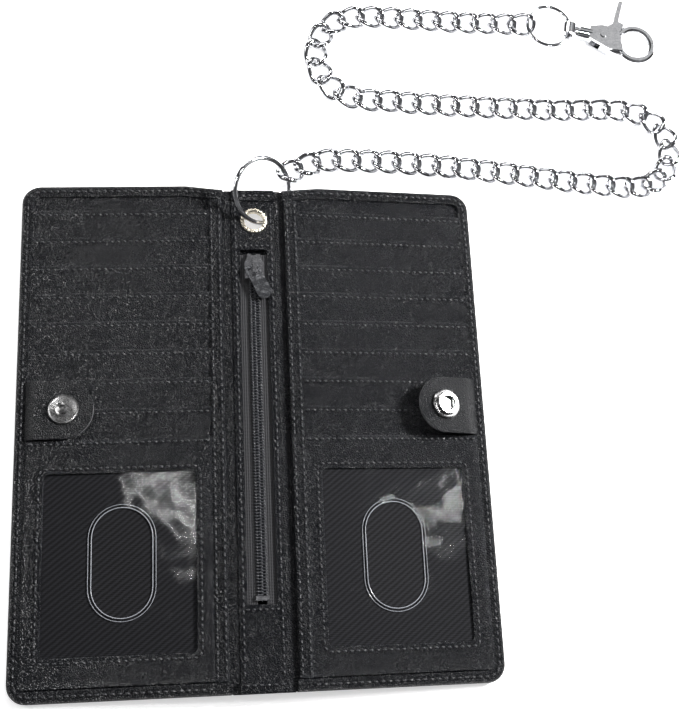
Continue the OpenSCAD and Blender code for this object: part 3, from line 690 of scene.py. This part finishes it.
# ---------------------------------------------------------------- zip
# Two woven tapes with a nylon coil on each; the closed coil shows as a ribbed
# band. A polished slider with a drop-shaped pull is at its upper end.
tape_mat, tree, bsdf = material("zip_tape")
place = add(tree, "ShaderNodeTexCoord").outputs["Object"]
knit = add(tree, "ShaderNodeTexWave", {"Vector": place, "Scale": 330.0, "Distortion": 0.4},
    bands_direction="X").outputs["Fac"]
purl = add(tree, "ShaderNodeTexWave", {"Vector": place, "Scale": 520.0, "Distortion": 0.4},
    bands_direction="Y").outputs["Fac"]
weave = math_node(tree, "MULTIPLY", knit, purl)
tree.links.new(mix_colour(tree, weave, (0.004, 0.004, 0.005), (0.028, 0.028, 0.032)),
    bsdf.inputs["Base Color"])
tree.links.new(add(tree, "ShaderNodeBump",
    {"Strength": 0.8, "Distance": 0.0004, "Height": weave}).outputs["Normal"], bsdf.inputs["Normal"])
bsdf.inputs["Roughness"].default_value = 0.75
for name, s in SIDES:
    keep_cad("zip_tape_" + name, tape_mat, 0)

coil_mat, tree, bsdf = material("zip_coil")
worn = add(tree, "ShaderNodeTexNoise",
    {"Vector": add(tree, "ShaderNodeTexCoord").outputs["Object"], "Scale": 900.0,
        "Detail": 3.0}).outputs["Fac"]
tree.links.new(mix_colour(tree, worn, (0.006, 0.006, 0.008), (0.03, 0.031, 0.036)),
    bsdf.inputs["Base Color"])
tree.links.new(ramp(tree, worn, 0.3, 0.7, 0.2, 0.38), bsdf.inputs["Roughness"])
TEETH, TOOTH_PITCH, ZIP_MID = 114, 1.3, 2.2
for name, s in SIDES:
    teeth = []
    for k in range(TEETH):
        y = ZIP_MID + (k - TEETH / 2 + (0.5 if s > 0 else 0)) * TOOTH_PITCH
        rings = []
        for x, grow in ((-0.42, 0.3), (-0.3, 0.85), (0.1, 1.0), (0.9, 0.82), (1.8, 0.9), (2.3, 0.95),
                (2.5, 0.5)):
            turns = [j * math.pi / 4 for j in range(8)]
            rings.append([(s * x, y + 0.46 * grow * math.cos(q), 7.45 + 0.5 * grow * math.sin(q))
                for q in turns])
        teeth.append(loft(rings, cap_first=True, cap_last=True))
    verts, faces = join(teeth)
    coil = new_piece("zip_coil_" + name, verts, faces, coil_mat, "spine")
    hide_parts("zip_teeth_" + name)
    v, f = sew([(s * 1.75, -72.5, 7.4), (s * 1.75, 66.0, 7.4)], flat, 1.3, 0.15, lift=(0, 0, 1))
    new_piece("zip_coil_thread_" + name, v, f, thread_mat, "spine")

slider_mat = metal("zip_metal", 0.15, (0.7, 0.7, 0.72), (0.4, 0.4, 0.42), (0.1, 0.28))
pull_mat = metal("pull_metal", 0.25, (0.75, 0.76, 0.79), (0.42, 0.43, 0.45), (0.07, 0.22))
keep_cad("zip_slider", slider_mat, 0.3)
keep_cad("zip_pull", pull_mat, 0.3)
keep_cad("zip_stops", slider_mat, 0.3)

# ---------------------------------------------------------------- eyelet
# A warm nickel eyelet at the head of the spine, its flange crimped all round.
eyelet_mat = metal("eyelet_nickel", 0.35, (0.78, 0.72, 0.6), (0.5, 0.46, 0.38), (0.15, 0.36))
EYELET = (0.5, 94.5)
rings = []
for r, z, crimp in ((4.2, 5.2, 0), (4.15, 5.8, 0), (4.15, 7.1, 0), (4.22, 7.55, 0), (4.45, 7.9, 0.02),
        (4.85, 8.1, 0.05), (5.3, 8.1, 0.09),
                    (5.75, 7.95, 0.12), (6.05, 7.7, 0.12), (6.2, 7.38, 0.06), (6.1, 7.2, 0)):
    rings.append([(EYELET[0] + (r + crimp * math.cos(22 * q)) * math.cos(q),
        EYELET[1] + (r + crimp * math.cos(22 * q)) * math.sin(q),
                   z + crimp * 0.8 * math.cos(22 * q)) for q in [k * math.pi / 88 for k in range(176)]])
verts, faces = loft(rings)
crimped = new_piece("eyelet_crimped", verts, faces, eyelet_mat, "spine")
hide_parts("eyelet")
keep_cad("eyelet_washer", eyelet_mat, 0.1)

# ---------------------------------------------------------------- rings and chain
# A wire ring through the eyelet, 55 twisted curb links, and a second ring at the
# hook. All are bright chrome; the links are ground a little flat on both faces.
chrome_mat = metal("chain_chrome", 0.1, (0.6, 0.605, 0.62), (0.4, 0.405, 0.42), (0.06, 0.17))
RING_WIRE = 2.3


def ring_of(matrix, big, wire_d, body, name, node):
    rings = []
    for k in range(97):
        a = 2 * math.pi * k / 96
        rings.append([tuple(matrix @ Vector(((big + wire_d / 2 * math.cos(q)) * math.cos(a),
            (big + wire_d / 2 * math.cos(q)) * math.sin(a),
                                             wire_d / 2 * math.sin(q)))) for q in [j * math.pi / 8
                                                 for j in range(16)]])
    verts, faces = loft(rings)
    wire = new_piece(name, verts, faces, chrome_mat, body)
    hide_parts(node)


chord = Vector((17 - EYELET[0], 114 - EYELET[1]))
big = (31.5 - RING_WIRE) / 2
ring_place = (Matrix.Translation((*EYELET, 6.45)) @ Matrix.Rotation(math.atan2(chord.y, chord.x), 4,
    "Z") @ Matrix.Rotation(math.radians(39), 4, "X")
              @ Matrix.Translation((chord.length / 2, math.sqrt(big * big - chord.length ** 2 / 4), 0)))
ring_of(ring_place, big, RING_WIRE, "wallet_ring", "wallet_ring_wire", "wallet_ring")

LINK_PITCH, LINK_A, LINK_B, LINK_C, LINK_WIRE = 9.6, 6.4, 4.95, 1.95, 2.5
FIRST_LINK, LINKS, LINK_Z = 4.9, 55, LINK_C + LINK_WIRE / 2 + 0.05
LAST_LINK = FIRST_LINK + (LINKS - 1) * LINK_PITCH
RING_LIFT, RING_RUN, HOOK_LIFT, HOOK_RUN, LAST_LEAN = 3.7, 26.0, 1.1, 20.0, 14.0


def bend(x, y, r, start, stop, steps=6):
    """Points of a round bend of the chain, from one angle to another."""
    turns = [math.radians(start + (stop - start) * k / steps) for k in range(steps + 1)]
    return [(x + r * math.cos(a), y + r * math.sin(a)) for a in turns]


# Three rows that lie nearly straight, joined by a bend on the right and one on the left
ROUTE = [(14, 116.5), (26.5, 123.8), (36, 127), (66, 127), (96, 125), (126, 122), (156, 118.5), (174, 117)]
ROUTE += bend(186.5, 137, 20.5, -90, 90) + [(174, 158), (150, 157), (107, 157.5), (80, 158.5), (68, 159.2)]
ROUTE += bend(55.5, 182.3, 22.5, 270, 90) + [(68, 205), (90, 204.5), (107, 204), (131, 204), (150, 203)]


def spline(a, b, c, d, t):
    return 0.5 * (2 * b + (c - a) * t + (2 * a - 5 * b + 4 * c - d) * t * t
                  + (3 * b - a - 3 * c + d) * t ** 3)


points = [Vector(p) for p in ROUTE]
stop = len(points) - 1
track = [spline(points[max(k - 1, 0)], points[k], points[k + 1], points[min(k + 2, stop)], j / 8)
    for k in range(stop) for j in range(8)]
far = [0.0]
for p, q in zip(track, track[1:]):
    far.append(far[-1] + (q - p).length)


def on_route(d):
    for k in range(len(track) - 1):
        if d <= far[k + 1] or k == len(track) - 2:
            return track[k].lerp(track[k + 1], max(0, min(1, (d - far[k]) / (far[k + 1] - far[k]))))


def height_at(d):
    """The chain lies on the table and climbs to a ring at each end."""
    return (LINK_Z + RING_LIFT * max(0, 1 - (d - FIRST_LINK) / RING_RUN) ** 2
            + HOOK_LIFT * max(0, 1 - (LAST_LINK - d) / HOOK_RUN) ** 2)


def link_place(i):
    d = FIRST_LINK + i * LINK_PITCH
    way, (x, y) = on_route(d + 3) - on_route(d - 3), on_route(d)
    yaw, pitch = math.atan2(way.y, way.x), -math.atan2(height_at(d + 3) - height_at(d - 3), 6)
    lean = math.radians(LAST_LEAN) if i == LINKS - 1 else 0
    return (Matrix.Translation((x, y, height_at(d))) @ Matrix.Rotation(yaw, 4, "Z") @ Matrix.Rotation(pitch,
        4, "Y")
            @ Matrix.Rotation(lean, 4, "X"))


def curb_link():
    rings = []
    for k in range(49):
        t = 2 * math.pi * k / 48
        mid = Vector((LINK_A * math.cos(t), LINK_B * math.sin(t), LINK_C * math.sin(2 * t)))
        d = Vector((-LINK_A * math.sin(t), LINK_B * math.cos(t), 2 * LINK_C * math.cos(2 * t))).normalized()
        n = d.cross(Vector((0, 0, 1))).normalized()
        m = d.cross(n)
        ring = []
        for q in [j * math.pi / 6 for j in range(12)]:
            p = mid + (n * math.cos(q) + m * math.sin(q)) * LINK_WIRE / 2
            if abs(p.z) > 2.8:
                p.z = math.copysign(2.8 + (abs(p.z) - 2.8) * 0.35, p.z)
            ring.append(p)
        rings.append(ring)
    return rings


shape = curb_link()
for part in range(6):
    links_here = range(part * 9, LINKS if part == 5 else part * 9 + 9)
    parts = [loft([[tuple(link_place(i) @ p) for p in ring] for ring in shape]) for i in links_here]
    verts, faces = join(parts)
    links = new_piece("chain_links_%d" % (part + 1), verts, faces, chrome_mat, "chain_%d" % (part + 1))
    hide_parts("chain_%d" % (part + 1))

# ---------------------------------------------------------------- hook
# A swivel trigger hook in chromed die-cast zinc: an eye on the ring, a collar it
# turns in, a fixed claw, and a thumb lever with the rest of the claw on a rivet.
HOOK = Matrix.Translation((161.7, 201.4, 4.8)) @ Matrix.Rotation(math.radians(-11.2), 4, "Z")
ring_of(HOOK @ Matrix.Translation((-10.5, 0, 0)), 11.0, 2.0, "hook_ring", "hook_ring_wire", "hook_ring")
hook_mat = metal("hook_chrome", 0.14, (0.78, 0.785, 0.8), (0.52, 0.525, 0.54), (0.07, 0.2))
for label, soft in (("hook_body", 0.55), ("hook_trigger", 0.55), ("hook_swivel_eye", 0.4),
        ("hook_pin", 0.25)):
    keep_cad(label, hook_mat, soft)
keep_cad("hook_spring", wire_mat, 0)

# ---------------------------------------------------------------- floor
floor_mat, tree, bsdf = material("floor")
bsdf.inputs["Base Color"].default_value = (0.93, 0.93, 0.93, 1)
bsdf.inputs["Roughness"].default_value = 0.9
bsdf.inputs["Emission Color"].default_value = (1, 1, 1, 1)
bsdf.inputs["Emission Strength"].default_value = 0.55
floor = new_piece("floor", [(-420, -420, -0.3), (520, -420, -0.3), (520, 520, -0.3), (-420, 520, -0.3)],
    [(0, 1, 2, 3)], floor_mat)
